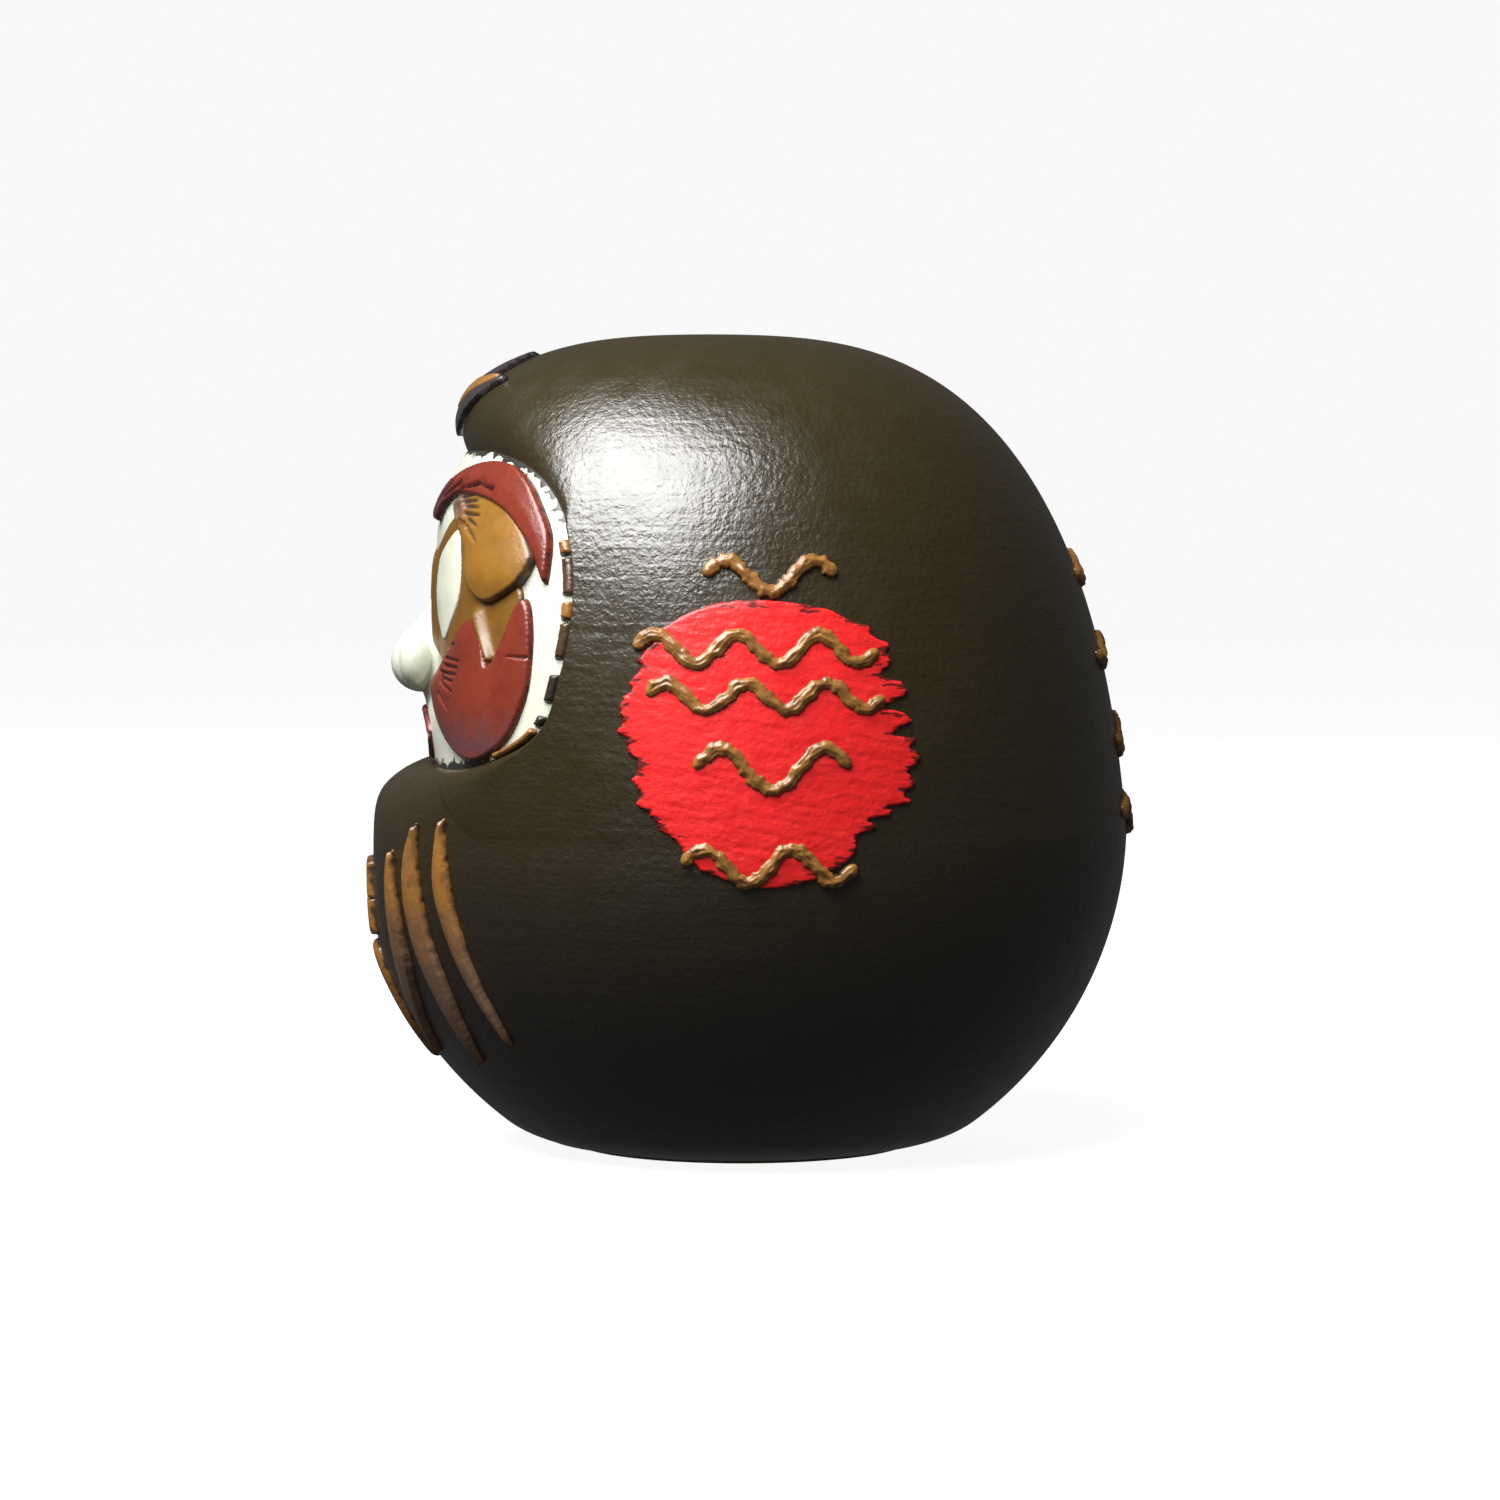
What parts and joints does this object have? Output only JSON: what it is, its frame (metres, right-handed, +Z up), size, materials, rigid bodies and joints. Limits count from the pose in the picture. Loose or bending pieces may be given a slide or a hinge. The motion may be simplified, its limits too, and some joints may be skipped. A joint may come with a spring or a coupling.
{
  "type": "daruma doll",
  "caption": "Round self-righting wishing doll with a hooded face, a hollow two-part shell, raised brush ornaments and a clay weight in its flat base.",
  "frame": {"origin": "centre of the flat round base, on the surface the doll stands on", "axes": "+Z up along the doll, -Y out of the face, +X to the doll's left"},
  "size_m": [0.146, 0.1427, 0.15],
  "materials": {
    "body_lacquer": "gloss",
    "inner_paper": "matte",
    "clay": "matte",
    "base_card": "matte",
    "face_cream": "satin",
    "face_red": "satin",
    "face_ochre": "satin",
    "eye_cream": "gloss",
    "dark_gold": "gloss",
    "gold": "gloss",
    "sun_red": "satin"
  },
  "bodies": {
    "root": {"shell_lower": "body_lacquer", "shell_upper": "body_lacquer", "seam_band": "inner_paper", "base_weight": "clay", "base_cover": "base_card", "face_mask": "face_cream", "nose": "face_cream", "brow_left": "face_red", "brow_right": "face_red", "cheek_left": "face_red", "cheek_right": "face_red", "lips": "face_red", "eyelid_left": "face_ochre", "eyelid_right": "face_ochre", "eye_socket_left": "face_ochre", "eye_socket_right": "face_ochre", "eye_white_left": "eye_cream", "eye_white_right": "eye_cream", "rim_bars_left": "dark_gold", "rim_bars_right": "dark_gold", "chest_block_lower": "dark_gold", "chest_block_upper": "dark_gold", "forehead_crest": "dark_gold", "forehead_flame": "gold", "chest_tongue": "gold", "rib_left_1": "gold", "rib_left_2": "gold", "rib_left_3": "gold", "rib_right_1": "gold", "rib_right_2": "gold", "rib_right_3": "gold", "sun_left": "sun_red", "sun_right": "sun_red", "wave_left_1": "gold", "wave_left_2": "gold", "wave_left_3": "gold", "wave_left_4": "gold", "wave_left_5": "gold", "wave_right_1": "gold", "wave_right_2": "gold", "wave_right_3": "gold", "wave_right_4": "gold", "wave_right_5": "gold", "back_wave_1": "gold", "back_wave_2": "gold", "back_wave_3": "gold", "back_wave_4": "gold"}
  },
  "joints": []
}
